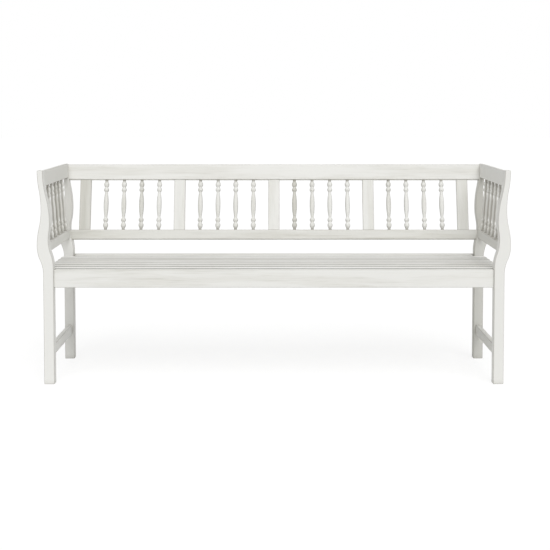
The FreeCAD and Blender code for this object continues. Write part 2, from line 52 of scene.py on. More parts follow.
BODY = "root"
Colour = tuple[float, float, float]
WHITE = (1.0, 1.0, 1.0, 1.0)
GOLDEN = (math.sqrt(5) - 1) / 2
STRAIGHT = 1e-9                     # metres of run below which a sawn edge is straight
BOARD_SHIFT = (37.0, 11.0, 23.0)    # metres of wood between one board's grain and another's
BOARD_STEPS = 3                     # faces round a board's eased edge
SIDE_SHADE_FADE = 0.5                     # share of an eased edge over which the painted shade on a side fades out


class Slot(Enum):
    """Finish slots of the record."""

    FRAME = "frame_wood"
    SLATS = "slat_wood"
    TURNED = "turned_wood"


class Mark(Enum):
    """Attributes that carry a board's own pattern from its mesh to its finish."""

    GRAIN = "grain"    # place within the board, X along the grain
    BOARD = "board"    # one number for each board
    EDGE = "edge"      # 1 where the wash is worn thin on eased edges, and where shade is painted on sides, in corners and between parts


class End(Enum):
    """The two ends of the bench, as the sign of X."""

    LEFT = -1
    RIGHT = 1


# Node trees


class Wire:
    """Output socket of a node tree, with arithmetic that adds Math nodes."""

    def __init__(self, tree: "Tree", socket: bpy.types.NodeSocket) -> None:
        """Keep the socket and the tree it belongs to."""
        self.tree = tree
        self.socket = socket

    def _math(self, operation: str, *terms: "Wire | float") -> "Wire":
        """Add one Math node over the given terms."""
        return self.tree.node("ShaderNodeMath", {"operation": operation}, dict(enumerate(terms)))

    def __add__(self, other: "Wire | float") -> "Wire":
        """Sum."""
        return self._math("ADD", self, other)

    def __sub__(self, other: "Wire | float") -> "Wire":
        """Difference."""
        return self._math("SUBTRACT", self, other)

    def __rsub__(self, other: float) -> "Wire":
        """Difference from a number."""
        return self._math("SUBTRACT", other, self)

    def __mul__(self, other: "Wire | float") -> "Wire":
        """Product."""
        return self._math("MULTIPLY", self, other)

    def __truediv__(self, other: "Wire | float") -> "Wire":
        """Quotient."""
        return self._math("DIVIDE", self, other)

    def __pow__(self, other: "Wire | float") -> "Wire":
        """Power."""
        return self._math("POWER", self, other)

    __radd__ = __add__

    def __abs__(self) -> "Wire":
        """Size without its sign."""
        return self._math("ABSOLUTE", self)

    def sine(self) -> "Wire":
        """Sine of an angle in radians."""
        return self._math("SINE", self)

    def root(self) -> "Wire":
        """Square root."""
        return self._math("SQRT", self)

    def least(self, other: "Wire | float") -> "Wire":
        """The smaller of two values."""
        return self._math("MINIMUM", self, other)

    def most(self, other: "Wire | float") -> "Wire":
        """The larger of two values."""
        return self._math("MAXIMUM", self, other)

    def sign(self) -> "Wire":
        """-1, 0 or 1."""
        return self._math("SIGN", self)


class Tree:
    """A node tree that is filled node by node."""

    def __init__(self, tree: bpy.types.NodeTree) -> None:
        """Start from an emptied tree."""
        self.tree = tree
        tree.nodes.clear()

    def node(
        self,
        kind: str,
        settings: dict[str, object] | None = None,
        sockets: dict[str | int, object] | None = None,
        out: str | int = 0,
    ) -> Wire:
        """Add a node.

        Args:
            kind: Blender's name for the type of node.
            settings: Properties, set before the sockets.
            sockets: Values or wires by the socket's name or number.
            out: Output that the returned wire reads.

        Returns:
            The chosen output, or the node's own wire where it has no output.
        """
        made = self.tree.nodes.new(kind)
        for name, value in (settings or {}).items():
            setattr(made, name, value)
        for key, value in (sockets or {}).items():
            if isinstance(value, Wire):
                self.tree.links.new(value.socket, made.inputs[key])
            else:
                made.inputs[key].default_value = value
        return Wire(self, made.outputs[out]) if made.outputs else Wire(self, None)

    def vector(self, operation: str, *terms: "Wire | Sequence[float]") -> Wire:
        """Add one Vector Math node over the given terms."""
        return self.node("ShaderNodeVectorMath", {"operation": operation}, dict(enumerate(terms)))

    def combine(self, x: Wire | float, y: Wire | float, z: Wire | float) -> Wire:
        """Vector from its three parts."""
        return self.node("ShaderNodeCombineXYZ", sockets={0: x, 1: y, 2: z})

    def part(self, vector: Wire, axis: str) -> Wire:
        """One part of a vector."""
        return self.node("ShaderNodeSeparateXYZ", sockets={0: vector}, out=axis)

    def between(self, value: Wire, low: float, high: float) -> Wire:
        """0 up to low, 1 from high on and a soft step between."""
        return self.node(
            "ShaderNodeMapRange", {"interpolation_type": "SMOOTHSTEP"},
            {"Value": value, "From Min": low, "From Max": high})


# Finishes


@dataclass(frozen=True)
class Pattern:
    """Noise drawn out along the grain, and the levels between which it comes to count."""

    along: float                     # features per metre
    across: float
    cut: tuple[float, float]
    detail: float = 3
    roughness: float = 0.55

    def noise(self, tree: Tree, place: Wire) -> Wire:
        """The noise itself, which lies round one half."""
        stretched = tree.vector("MULTIPLY", place, (self.along, self.across, self.across))
        return tree.node(
            "ShaderNodeTexNoise", {"noise_dimensions": "3D"},
            {"Vector": stretched, "Scale": 1.0, "Detail": self.detail, "Roughness": self.roughness})

    def patches(self, tree: Tree, noise: Wire) -> Wire:
        """1 where the noise is past its cut, 0 where it falls short."""
        return tree.between(noise, *self.cut)


@dataclass(frozen=True)
class Whitewash:
    """Thin off-white wash over wood, wiped back along the grain and the edges, with painted shade in
    crevices, between parts and on some sides.
    """

    slot: Slot
    light: Colour = (0.815, 0.812, 0.782)
    warm: Colour = (0.735, 0.727, 0.682)
    bare: Colour = (0.435, 0.424, 0.362)
    # Colour of wear on edges and of painted shade on sides and in corners.
    thin: Colour = (0.33, 0.317, 0.268)
    # Colour of the glaze and the painted shade in crevices.
    glaze: Colour = (0.29, 0.276, 0.230)
    clouds: Pattern = Pattern(2.2, 24.0, cut=(0.42, 0.66))
    figure: Pattern = Pattern(3.5, 110.0, cut=(0.52, 0.70))
    pores: Pattern = Pattern(14.0, 620.0, cut=(0.54, 0.68), detail=2)
    smears: Pattern = Pattern(9.0, 9.0, cut=(0.30, 0.62))
    warm_clouds: float = 0.7         # how far clouds turn the wash warm
    warm_board: float = 0.3          # how far it differs from board to board
    streaks: float = 0.42            # how far open grain shows through the wash
    open_figure: float = 0.6         # share of the figure in the open grain
    open_pores: float = 0.55
    open_outside: float = 0.2        # share of open grain outside the clouds
    sparing: float = 0.38            # how much thinner the thinnest board's wash is
    sparing_from: float = 0.55       # a board's number from which its wash gets thinner
    sparing_patchy: float = 0.8
    sparing_least: float = 0.6
    # How far worn edges and painted shade take on that colour.
    edge_wear: float = 0.55
    edge_even: float = 0.5           # share of the wear that runs the whole edge
    # Strength, reach and cut of the painted shade and glaze in crevices.
    crevice_glaze: float = 0.85
    crevice_reach: float = 0.045     # metres
    crevice_cut: tuple[float, float] = (0.25, 0.95)
    crevice_rays: int = 8
    roughness: float = 0.56
    smear_roughness: float = 0.20
    open_roughness: float = 0.12
    specular: float = 0.35
    relief: float = 0.25
    relief_depth: float = 0.0006     # metres
    relief_figure: float = 0.5
    relief_pores: float = 0.35
    relief_open: float = 0.4

    def blend(self, tree: Tree, under: Wire | Colour, over: Colour, amount: Wire) -> Wire:
        """One colour laid over another."""
        colours = {6: under if isinstance(under, Wire) else (*under, 1.0), 7: (*over, 1.0)}
        return tree.node(
            "ShaderNodeMix", {"data_type": "RGBA"}, {0: amount, **colours}, out=2)

    def material(self) -> bpy.types.Material:
        """Build the finish.

        Returns:
            A material that follows the grain of the board it is put on.
        """
        made = bpy.data.materials.new(f"whitewashed_{self.slot.value}")
        made.use_nodes = True
        tree = Tree(made.node_tree)
        board = tree.node("ShaderNodeAttribute", {"attribute_name": Mark.BOARD.value}, out="Fac")
        own = tree.node("ShaderNodeAttribute", {"attribute_name": Mark.GRAIN.value}, out="Vector")
        edge = tree.node("ShaderNodeAttribute", {"attribute_name": Mark.EDGE.value}, out="Fac")
        place = tree.vector("ADD", own, tree.combine(*(board * shift for shift in BOARD_SHIFT)))

        clouds, figure, pores, smears = (
            pattern.noise(tree, place)
            for pattern in (self.clouds, self.figure, self.pores, self.smears)
        )
        crowding = self.clouds.patches(tree, clouds)
        lines = self.figure.patches(tree, figure) * self.open_figure
        fine = self.pores.patches(tree, pores) * self.open_pores
        opened = (lines + fine) * (crowding * (1.0 - self.open_outside) + self.open_outside)
        patchy = self.smears.patches(tree, smears) * (1.0 - self.edge_even)
        # Wear on eased edges, together with painted shade on sides, in corners and between parts.
        worn_and_shaded = edge * (patchy + self.edge_even)
        # Painted shade in crevices, found by ambient occlusion, together with the glaze that settles
        # there.
        occlusion = tree.node(
            "ShaderNodeAmbientOcclusion", {"samples": self.crevice_rays},
            {"Distance": self.crevice_reach}, out="AO")
        crevice_shade = tree.between(1.0 - occlusion, *self.crevice_cut)

        sparing = tree.between(board, self.sparing_from, 1.0)
        sparing = sparing * (clouds * self.sparing_patchy + self.sparing_least)
        warmth = crowding * self.warm_clouds + (board - 0.5) * self.warm_board
        colour = self.blend(tree, self.light, self.warm, warmth)
        colour = self.blend(tree, colour, self.bare, sparing * self.sparing)
        colour = self.blend(tree, colour, self.bare, opened * self.streaks)
        colour = self.blend(tree, colour, self.thin, worn_and_shaded * self.edge_wear)
        colour = self.blend(tree, colour, self.glaze, crevice_shade * self.crevice_glaze)
        roughness = self.roughness + (smears - 0.5) * self.smear_roughness + opened * self.open_roughness
        height = figure * self.relief_figure + pores * self.relief_pores - opened * self.relief_open
        relief = tree.node(
            "ShaderNodeBump", {},
            {"Strength": self.relief, "Distance": self.relief_depth, "Height": height})
        shader = tree.node(
            "ShaderNodeBsdfPrincipled", {},
            {"Base Color": colour, "Roughness": roughness, "Normal": relief,
             "Specular IOR Level": self.specular})
        tree.node("ShaderNodeOutputMaterial", {}, {"Surface": shader})
        return made


@dataclass(frozen=True)
class PaleFloor:
    """White sweep that keeps a soft shadow of the bench."""

    colour: Colour = (0.92, 0.92, 0.915)
    clean: float = 0.70             # share of plain white that the camera sees
    glow: float = 1.12              # brings the unshaded floor up to the background

    def material(self) -> bpy.types.Material:
        """Build the floor's finish.

        Returns:
            A pale matt material, mostly plain white to the camera.
        """
        made = bpy.data.materials.new("pale_floor")
        made.use_nodes = True
        tree = Tree(made.node_tree)
        matt = tree.node("ShaderNodeBsdfDiffuse", {}, {"Color": (*self.colour, 1.0)})
        white = tree.node("ShaderNodeEmission", {}, {"Color": WHITE, "Strength": self.glow})
        seen = seen_rays(tree)
        shader = tree.node("ShaderNodeMixShader", {}, {0: seen * self.clean, 1: matt, 2: white})
        tree.node("ShaderNodeOutputMaterial", {}, {"Surface": shader})
        return made


def seen_rays(tree: Tree) -> Wire:
    """1 for rays that show the background: to the camera, mirrored or through glass."""
    rays = [
        tree.node("ShaderNodeLightPath", out=name)
        for name in ("Is Camera Ray", "Is Glossy Ray", "Is Transmission Ray")
    ]
    return rays[0].most(rays[1]).most(rays[2])


# Boards and turnings that repeat


class Recipe(Tree):
    """Geometry tree with named inputs for its sizes."""

    KINDS = {
        "size": "NodeSocketFloat",
        "count": "NodeSocketInt",
        "vector": "NodeSocketVector",
        "turn": "NodeSocketRotation",
        "finish": "NodeSocketMaterial",
    }

    def __init__(self, name: str) -> None:
        """Make an empty tree whose one output is the piece's geometry."""
        super().__init__(bpy.data.node_groups.new(name, "GeometryNodeTree"))
        self.tree.interface.new_socket(
            "Geometry", in_out="OUTPUT", socket_type="NodeSocketGeometry")
        self.group = self.tree.nodes.new("NodeGroupInput")

    def take(self, name: str, kind: str = "size") -> Wire:
        """A named input of one of the known kinds, added when it is first asked for."""
        if name not in self.group.outputs:
            self.tree.interface.new_socket(name, in_out="INPUT", socket_type=self.KINDS[kind])
        return Wire(self, self.group.outputs[name])

    def lattice(self) -> Wire:
        """Points in rows: Count points a Step apart, in Groups that are a Group Step apart.

        Returns:
            The points, as loose vertices.
        """
        rows = self.node(
            "GeometryNodeMeshLine", {},
            {"Count": self.take("Groups", "count"), "Start Location": self.take("Start", "vector"),
             "Offset": self.take("Group Step", "vector")})
        row = self.node(
            "GeometryNodeMeshLine", {},
            {"Count": self.take("Count", "count"), "Offset": self.take("Step", "vector")})
        placed = self.node("GeometryNodeInstanceOnPoints", {}, {"Points": rows, "Instance": row})
        return self.node("GeometryNodeRealizeInstances", {}, {"Geometry": placed})

    def store(self, geometry: Wire, mark: Mark, value: Wire, domain: str, kind: str) -> Wire:
        """Write a field to an attribute that the finish reads."""
        return self.node(
            "GeometryNodeStoreNamedAttribute", {"domain": domain, "data_type": kind},
            {"Geometry": geometry, "Name": mark.value, "Value": value})

    def repeat(self, shape: Wire) -> None:
        """Set the shape on each point of the lattice, number the copies and end the tree.

        Args:
            shape: One copy, at the origin.
        """
        placed = self.node(
            "GeometryNodeInstanceOnPoints", {},
            {"Points": self.lattice(), "Instance": shape, "Rotation": self.take("Turn", "turn")})
        index = self.node("GeometryNodeInputIndex")
        number = self.node(
            "FunctionNodeRandomValue", {"data_type": "FLOAT"},
            {"ID": index, "Seed": self.take("Seed", "count")}, out=1)
        placed = self.store(placed, Mark.BOARD, number, "INSTANCE", "FLOAT")
        solid = self.node("GeometryNodeRealizeInstances", {}, {"Geometry": placed})
        smooth = self.node("GeometryNodeSetShadeSmooth", {}, {"Geometry": solid})
        dressed = self.node(
            "GeometryNodeSetMaterial", {},
            {"Geometry": smooth, "Material": self.take("Finish", "finish")})
        self.node("NodeGroupOutput", {}, {"Geometry": dressed})

    def grow(self, name: str, values: dict[str, object]) -> bpy.types.Mesh:
        """Run the tree once.

        Args:
            name: Name of the mesh.
            values: Sizes by the names of the tree's inputs.

        Returns:
            The result as a plain mesh.
        """
        host = bpy.data.objects.new(name, bpy.data.meshes.new(name))
        bpy.context.scene.collection.objects.link(host)
        modifier = host.modifiers.new(name, "NODES")
        modifier.node_group = self.tree
        for item in self.tree.interface.items_tree:
            if item.in_out == "INPUT" and item.name in values:
                modifier[item.identifier] = values[item.name]
        graph = bpy.context.evaluated_depsgraph_get()
        mesh = bpy.data.meshes.new_from_object(
            host.evaluated_get(graph), preserve_all_data_layers=True, depsgraph=graph)
        bpy.data.objects.remove(host)
        mesh.name = name
        return mesh


def board_recipe() -> Recipe:
    """Rounded board along X, repeated.

    Returns:
        A tree with Length, Width, Thickness, Edge Round, End Round and a last input
        that at 1 paints shade on the board's sides, as for the gaps between slats.
    """
    tree = Recipe("boards")
    length, width, thickness = (tree.take(name) for name in ("Length", "Width", "Thickness"))
    edge_round, end_round = tree.take("Edge Round"), tree.take("End Round")
    section = tree.node(
        "GeometryNodeCurvePrimitiveQuadrilateral", {}, {"Width": width, "Height": thickness})
    section = tree.node(
        "GeometryNodeFilletCurve", {"mode": "POLY"},
        {"Curve": section, "Count": BOARD_STEPS, "Radius": edge_round})

    last = 2 * BOARD_STEPS + 1
    spine = tree.node(
        "GeometryNodeCurvePrimitiveLine", {},
        {"Start": (0.0, 0.0, 0.0), "End": (1.0, 0.0, 0.0)})
    spine = tree.node(
        "GeometryNodeResampleCurve", {"mode": "COUNT"}, {"Curve": spine, "Count": last + 1})
    index = tree.node("GeometryNodeInputIndex")
    from_end = index.least(last - index)
    inward = end_round * (1.0 - (math.pi / 2 - from_end * (math.pi / 2 / BOARD_STEPS)).sine())
    along = (index - last / 2).sign() * (length / 2 - inward)
    spine = tree.node(
        "GeometryNodeSetPosition", {}, {"Geometry": spine, "Position": tree.combine(along, 0.0, 0.0)})
    bar = tree.node(
        "GeometryNodeCurveToMesh", {},
        {"Curve": spine, "Profile Curve": section, "Fill Caps": True})

    place = tree.node("GeometryNodeInputPosition")
    bar = tree.store(bar, Mark.GRAIN, place, "POINT", "FLOAT_VECTOR")
    x, y, z = (tree.part(place, axis) for axis in "XYZ")
    near_side = ((abs(y) - width / 2 + edge_round) / edge_round).most(0.0)
    near_face = ((abs(z) - thickness / 2 + edge_round) / edge_round).most(0.0)
    # Painted shade on the board's sides, which darkens the gaps between slats.
    side_shade = tree.between(near_side, 0.0, SIDE_SHADE_FADE) * tree.take("Bare Sides")
    # Half way round an eased edge the product is one half.
    thin = (near_side * near_face * 2.0).least(1.0).most(side_shade)
    bar = tree.store(bar, Mark.EDGE, thin, "POINT", "FLOAT")
    shortfall = (abs(x) - length / 2 + end_round).most(0.0)
    drawn_in = end_round - (end_round ** 2.0 - shortfall ** 2.0).most(0.0).root()
    shrink = tree.combine(1.0, 1.0 - drawn_in * 2.0 / width, 1.0 - drawn_in * 2.0 / thickness)
    bar = tree.node(
        "GeometryNodeSetPosition", {},
        {"Geometry": bar, "Position": tree.vector("MULTIPLY", place, shrink)})
    tree.repeat(bar)
    return tree


@dataclass(frozen=True)
class Turning:
    """Profile of a spindle from the rail to its middle: distance and radius in metres."""

    stations: tuple[tuple[float, float], ...] = (
        (0.0, 0.0066),
        (0.0060, 0.0062),
        (0.0085, 0.0067),
        (0.0130, 0.0088),
        (0.0205, 0.0105),
        (0.0270, 0.0092),
        (0.0310, 0.0070),
        (0.0330, 0.0065),
        (0.0352, 0.0072),
        (0.0385, 0.0092),
        (0.0435, 0.0103),
        (0.0485, 0.0092),
        (0.0515, 0.0070),
        (0.0545, 0.0061),
        (0.0620, 0.0066),
        (0.0760, 0.0085),
        (0.0920, 0.0098),
        (0.1090, 0.0101),
    )
    root_reach: float = 0.016        # length at each rail over which painted shade darkens the spindle
    side_from: float = 0.78          # how squarely a side faces its neighbour before painted shade darkens it
    rings: int = 131
    sides: int = 28

    def recipe(self) -> Recipe:
        """Turned spindle along Z, repeated.

        Returns:
            A tree with Length and Widest, its largest radius.
        """
        tree = Recipe("turned_spindles")
        length, widest = tree.take("Length"), tree.take("Widest")
        share = tree.node("GeometryNodeSplineParameter", out="Factor")
        profile = tree.node("ShaderNodeFloatCurve", {}, {"Value": 1.0 - abs(share * 2.0 - 1.0)})
        middle = self.stations[-1][0]
        largest = max(radius for _, radius in self.stations)
        mapping = profile.socket.node.mapping
        curve = mapping.curves[0]
        for distance, radius in self.stations[1:-1]:
            curve.points.new(distance / middle, radius / largest)
        curve.points[0].location = (0.0, self.stations[0][1] / largest)
        curve.points[-1].location = (1.0, self.stations[-1][1] / largest)
        mapping.update()

        axis = tree.node(
            "GeometryNodeCurvePrimitiveLine", {},
            {"Start": (0.0, 0.0, 0.0), "End": tree.combine(0.0, 0.0, length)})
        axis = tree.node(
            "GeometryNodeResampleCurve", {"mode": "COUNT"}, {"Curve": axis, "Count": self.rings})
        outline = tree.node(
            "GeometryNodeCurvePrimitiveCircle", {"mode": "RADIUS"},
            {"Resolution": self.sides, "Radius": 1.0})
        turned = tree.node(
            "GeometryNodeCurveToMesh", {},
            {"Curve": axis, "Profile Curve": outline, "Scale": profile * widest, "Fill Caps": True})
        place = tree.node("GeometryNodeInputPosition")
        x, y, z = (tree.part(place, part) for part in "XYZ")
        turned = tree.store(turned, Mark.GRAIN, tree.combine(z, x, y), "POINT", "FLOAT_VECTOR")
        # Painted shade on the sides that face a neighbouring spindle and near the rails.
        outward = tree.vector("NORMALIZE", tree.combine(x, y, 0.0))
        to_neighbour = tree.vector("NORMALIZE", tree.take("Step", "vector"))
        facing = tree.node(
            "ShaderNodeVectorMath", {"operation": "DOT_PRODUCT"}, {0: outward, 1: to_neighbour},
            out="Value")
        side = tree.between(abs(facing), self.side_from, 1.0)
        root = 1.0 - tree.between(z.least(length - z), 0.0, self.root_reach)
        turned = tree.store(turned, Mark.EDGE, side.most(root), "POINT", "FLOAT")
        tree.repeat(turned)
        return tree


def loft(name: str, rings: Sequence[Sequence[Vector]]) -> bpy.types.Mesh:
    """Skin over closed rings of points, with a flat cap at both ends.

    Args:
        name: Name of the mesh.
        rings: Rings in order, with the same number of points each.

    Returns:
        The closed mesh, whose vertices are in the order of the rings.
    """
    made = bmesh.new()
    loops = [[made.verts.new(point) for point in ring] for ring in rings]
    for lower, upper in zip(loops, loops[1:]):
        for index, corner in enumerate(lower):
            after = (index + 1) % len(lower)
            made.faces.new((corner, lower[after], upper[after], upper[index]))
    made.faces.new(loops[0])
    made.faces.new(loops[-1])
    bmesh.ops.recalc_face_normals(made, faces=made.faces)
    for face in made.faces:
        face.smooth = True
    mesh = bpy.data.meshes.new(name)
    made.to_mesh(mesh)
    made.free()
    return mesh


def write_marks(
    mesh: bpy.types.Mesh, board: float, edges: Iterable[float], to_grain: Callable[[Vector], Vector]
) -> None:
    """Store what the finish reads on a lofted board.

    Args:
        mesh: The board.
        board: Its own number.
        edges: How thin the wash is from wear, together with the painted shade, at each vertex, from 0 to
            1.
        to_grain: Place in the bench to place along the board's grain.
    """
    grain = mesh.attributes.new(Mark.GRAIN.value, "FLOAT_VECTOR", "POINT")
    number = mesh.attributes.new(Mark.BOARD.value, "FLOAT", "POINT")
    edge = mesh.attributes.new(Mark.EDGE.value, "FLOAT", "POINT")
    for vertex, share in zip(mesh.vertices, edges, strict=True):
        grain.data[vertex.index].vector = to_grain(vertex.co)
        number.data[vertex.index].value = board
        edge.data[vertex.index].value = share


@dataclass(frozen=True)
class Eased:
    """Rounded edges and ends of a sawn board, in metres."""

    edge: float = 0.0030
    end: float = 0.0020
    steps: int = 4

    def corners(self) -> list[tuple[int, int, float, float, float]]:
        """Points round a section.

        Returns:
            For each point, the signs of its corner, the cosine and sine of its
            angle within the corner, and how far it is on the eased edge.
        """
        found = []
        for quarter, (u, v) in enumerate(((1, 1), (-1, 1), (-1, -1), (1, -1))):
            for step in range(self.steps + 1):
                angle = math.pi / 2 * (quarter + step / self.steps)
                on_edge = math.sin(math.pi * step / self.steps)
                found.append((u, v, math.cos(angle), math.sin(angle), on_edge))
        return found

    def ends(self) -> list[tuple[float, float]]:
        """Steps in from an end, as distance along and distance drawn in."""
        turns = [math.pi / 2 * step / self.steps for step in range(self.steps + 1)]
        return [(self.end * (1 - math.cos(t)), self.end * (1 - math.sin(t))) for t in turns]

    def section(self, u: tuple[float, float], v: tuple[float, float], inset: float) -> list[Vector]:
        """Rounded rectangle.

        Args:
            u: Its limits one way.
            v: Its limits the other way.
            inset: How far it is drawn in all round.

        Returns:
            Its points, in the order of the corners.
        """
        radius = self.edge - min(inset, self.edge / 2)
        half = ((u[1] - u[0]) / 2 - inset, (v[1] - v[0]) / 2 - inset)
        middle = (sum(u) / 2, sum(v) / 2)
        return [
            Vector((
                middle[0] + su * (half[0] - radius) + radius * cosine,
                middle[1] + sv * (half[1] - radius) + radius * sine,
            ))
            for su, sv, cosine, sine, _ in self.corners()
        ]


def stations(length: float, pitch: float, eased: Eased) -> list[tuple[float, float]]:
    """Places along a board, closer at its rounded ends.

    Args:
        length: Length of the board.
        pitch: Distance between places in its middle.
        eased: How its ends are rounded.

    Returns:
        Each place with the inset there.
    """
    ends = eased.ends()
    inner = length - 2 * eased.end
    count = max(1, round(inner / pitch))
    middle = [(eased.end + inner * step / count, 0.0) for step in range(1, count)]
    return [*ends, *middle, *((length - along, inset) for along, inset in reversed(ends))]


class Workshop:
    """Dresses finished meshes and hands them in as pieces of the bench."""

    FIRST_BOARD = 13    # where the count of boards starts, which sets how thin each one's wash is

    def __init__(self) -> None:
        """Mix the finishes and draw up the repeating pieces once."""
        washes = (
            Whitewash(Slot.FRAME),
            # The slats: near-black painted shade on their sides and edges for the gaps, and in crevices.
            Whitewash(
                Slot.SLATS, light=(0.915, 0.912, 0.882), warm=(0.850, 0.840, 0.800), edge_wear=0.97,
                edge_even=0.85, thin=(0.050, 0.046, 0.037), glaze=(0.06, 0.055, 0.045),
                crevice_reach=0.02),
            Whitewash(
                Slot.TURNED, edge_wear=0.80, edge_even=0.8, thin=(0.26, 0.242, 0.205),
                glaze=(0.22, 0.20, 0.165), crevice_reach=0.06),
        )
        self.finishes = {wash.slot: wash.material() for wash in washes}
        self.boards = board_recipe()
        self.spindles = Turning().recipe()
        self.next_board = self.FIRST_BOARD

    def number(self) -> float:
        """Number the next board.

        Returns:
            A fresh number between 0 and 1, spread by the golden ratio.
        """
        share = self.next_board * GOLDEN % 1
        self.next_board += 1
        return share

    def hand_in(self, mesh: bpy.types.Mesh, slot: Slot, nodes: Sequence[str]) -> None:
        """Make a mesh a piece of the bench.

        Args:
            mesh: The finished mesh, named as the piece.
            slot: Slot of the record that its finish belongs to.
            nodes: Frame nodes that it stands for.
        """
        piece = bpy.data.objects.new(mesh.name, mesh)
        bpy.context.scene.collection.objects.link(piece)
        if not mesh.materials:
            mesh.materials.append(self.finishes[slot])
        shading = piece.modifiers.new("even_shading", "WEIGHTED_NORMAL")
        shading.keep_sharp = True
        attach(piece, BODY)
        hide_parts(*nodes)
        log.info("%s: %d faces, stands for %d nodes", piece.name, len(mesh.polygons), len(nodes))


def names(stem: str, count: int, form: str = "{}_{}") -> list[str]:
    """Numbered node names from 1."""
    return [form.format(stem, index + 1) for index in range(count)]


@dataclass(frozen=True)
class SCurve:
    """Sawn edge of a post: heights and widths where the edge runs upright."""

    turns: tuple[tuple[float, float], ...]

    def across(self, height: float) -> float:
        """Width of the edge: straight outside the turns, two equal arcs between them.

        Args:
            height: Height above the floor.

        Returns:
            The width there.
        """
        if height <= self.turns[0][0]:
            return self.turns[0][1]
        for (low, start), (high, end) in zip(self.turns, self.turns[1:]):
            if height <= high:
                rise, run = high - low, end - start
                if abs(run) < STRAIGHT:
                    return start
                radius = (rise ** 2 + run ** 2) / (4 * abs(run))
                from_low = min(height - low, high - height)
                bow = math.copysign(radius - math.sqrt(radius ** 2 - from_low ** 2), run)
                return start + bow if height - low < rise / 2 else end - bow
        return self.turns[-1][1]


@dataclass
class Posts:
    """Four sawn posts: square legs that swell into S-curved arm posts above the seat."""

    seat: float = field(default_factory=lambda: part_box("seat_slat_1")[1].z)
    leg_width: float = 0.040
    leg_depth: float = 0.040
    belly: float = 0.0635
    waist: float = 0.0468
    top_out: float = 0.0605
    top_in: float = 0.0380
    bulge: float = 0.0128
    hollow: float = 0.0185
    swell_drop: float = 0.017
    belly_rise: float = 0.090
    waist_rise: float = 0.233
    scoop_rise: float = 0.008
    hollow_rise: float = 0.113
    bulge_rise: float = 0.181
    rake: float = math.radians(15)
    rake_rise: float = 0.003
    bend: float = 0.200
    rear_trim: float = 0.0055        # rear posts end level with the back's top rail
    corner_thin: float = 0.75        # strength of painted shade on the rear posts' fronts behind the arms
    corner_base: float = 0.55        # height where that painted shade starts
    pitch: float = 0.007
    eased: Eased = Eased()

    def __post_init__(self) -> None:
        """Work out the sawn edges and the places of the legs."""
        low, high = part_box("front_right_post")
        self.inner, self.front, self.top = low.x, low.y, high.z
        self.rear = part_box("rear_right_post")[0].y
        self.outside = SCurve((
            (self.seat - self.swell_drop, self.leg_width),
            (self.seat + self.belly_rise, self.belly),
            (self.seat + self.waist_rise, self.waist),
            (self.top, self.top_out),
        ))
        self.inside = SCurve((
            (self.seat + self.scoop_rise, 0.0),
            (self.seat + self.hollow_rise, self.hollow),
            (self.seat + self.bulge_rise, self.bulge),
            (self.top, self.top_in),
        ))

    @property
    def leg_back(self) -> float:
        """Rear face of the front legs."""
        return self.front + self.leg_depth

    @property
    def rake_base(self) -> float:
        """Height where the rear posts start to lean."""
        return self.seat + self.rake_rise

    def lean(self, height: float) -> float:
        """Lean of a rear post: upright, then a bend, then straight.

        Args:
            height: Height above the floor.

        Returns:
            How far back it has leant there.
        """
        reach = self.bend * math.tan(self.rake / 2)
        from_start = height - self.rake_base + reach
        if from_start <= 0:
            return 0.0
        if height >= self.rake_base + reach * math.cos(self.rake):
            return (height - self.rake_base) * math.tan(self.rake)
        return self.bend - math.sqrt(self.bend ** 2 - from_start ** 2)

    def build(self, shop: Workshop) -> None:
        """Saw and hand in the four posts.

        Args:
            shop: Where pieces are dressed and handed in.
        """
        for end in End:
            for place, face, leaning, top in (
                ("front", self.front, 0.0, self.top),
                ("rear", self.rear, 1.0, self.top - self.rear_trim),
            ):
                name = f"{place}_{end.name.lower()}_post"
                rings = []
                for height, inset in stations(top, self.pitch, self.eased):
                    sides = sorted((
                        end.value * (self.inner + self.inside.across(height)),
                        end.value * (self.inner + self.outside.across(height)),
                    ))
                    near = face + leaning * self.lean(height)
                    section = self.eased.section(sides, (near, near + self.leg_depth), inset)
                    rings.append([Vector((p.x, p.y, height)) for p in section])
                mesh = loft(name, rings)
                # Wear on the eased edges, and painted shade on the rear posts' fronts behind the arms.
                edges = [
                    max(on_edge, -sine * self.corner_thin * leaning * (ring[0].z > self.corner_base))
                    for ring in rings for *_, sine, on_edge in self.eased.corners()
                ]
                write_marks(mesh, shop.number(), edges, lambda place: Vector((place.z, place.x, place.y)))
                shop.hand_in(mesh, Slot.FRAME, [name])


